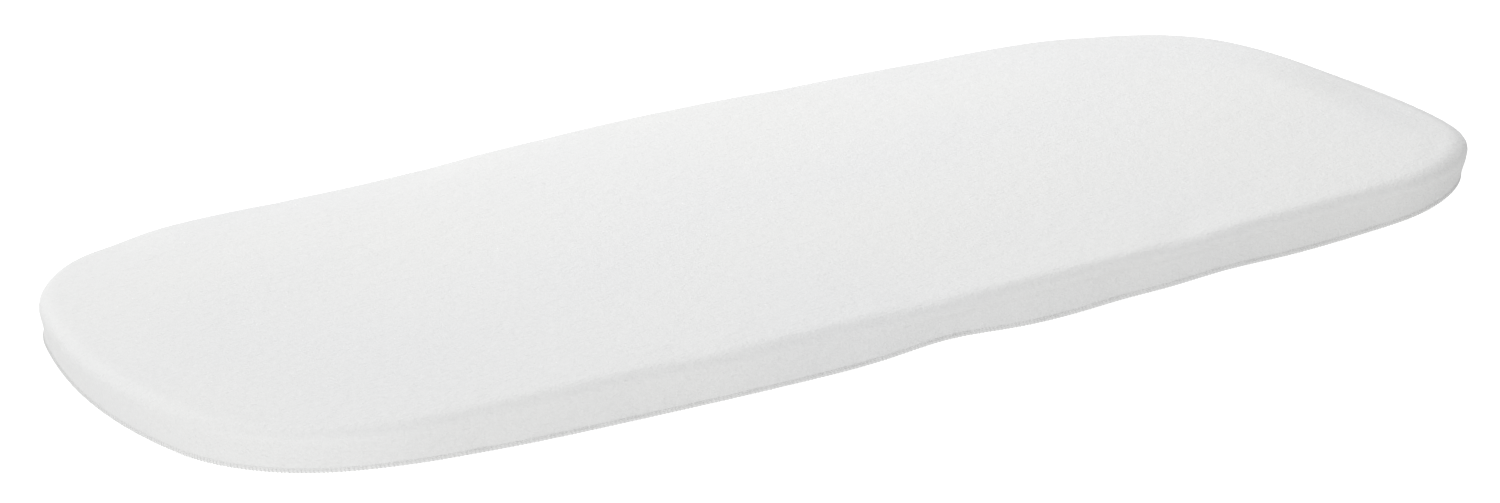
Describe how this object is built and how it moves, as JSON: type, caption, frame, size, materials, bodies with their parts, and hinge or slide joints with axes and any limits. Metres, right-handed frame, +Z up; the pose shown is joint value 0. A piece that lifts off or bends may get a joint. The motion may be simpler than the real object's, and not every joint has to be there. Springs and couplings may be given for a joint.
{
  "type": "changing pad",
  "caption": "Flat oblong changing pad with rounded ends: foam core in a waterproof liner, inside a removable terry cover with a zip along one long side.",
  "frame": {"origin": "centre of the underside, on the floor plane", "axes": "+X along the pad's length, towards the end where the zip closes; +Y across the width, towards the side that carries the zip; +Z up, from the underside to the top"},
  "size_m": [0.8118, 0.407, 0.025],
  "materials": {
    "foam": "matte",
    "liner_film": "satin",
    "terry": "matte",
    "base_fabric": "matte",
    "thread": "satin",
    "zip_tape": "matte",
    "zip_coil": "satin",
    "zip_metal": "satin",
    "slider_enamel": "gloss",
    "label_satin": "satin"
  },
  "bodies": {
    "pad": {"foam_core": "foam", "liner_top": "liner_film", "liner_bottom": "liner_film", "cover_top": "terry", "cover_bottom": "base_fabric", "overlocked_edge": "terry", "overlock_thread": "thread", "zip_tape_upper": "zip_tape", "zip_tape_lower": "zip_tape", "zip_teeth_upper": "zip_coil", "zip_teeth_lower": "zip_coil", "zip_top_stops": "zip_metal", "zip_bottom_stop": "zip_metal", "zip_stitching_upper": "thread", "zip_stitching_lower": "thread", "zip_bar_tacks": "thread", "care_label": "label_satin"},
    "slider": {"zip_slider": "slider_enamel", "zip_slider_bridge": "slider_enamel"},
    "pull_tab": {"zip_pull_tab": "slider_enamel"}
  },
  "joints": [
    {"name": "zip_travel", "type": "hinge", "parent": "pad", "child": "slider", "pos_m": [0, -3.22669, 0.01], "axis": [0, 0, 1], "range_deg": [0, 8.12]},
    {"name": "pull_tab_flip", "type": "hinge", "parent": "slider", "child": "pull_tab", "pos_m": [0.24285, 0.19675, 0.01], "axis": [0, 0, -1], "range_deg": [0, 180]}
  ]
}
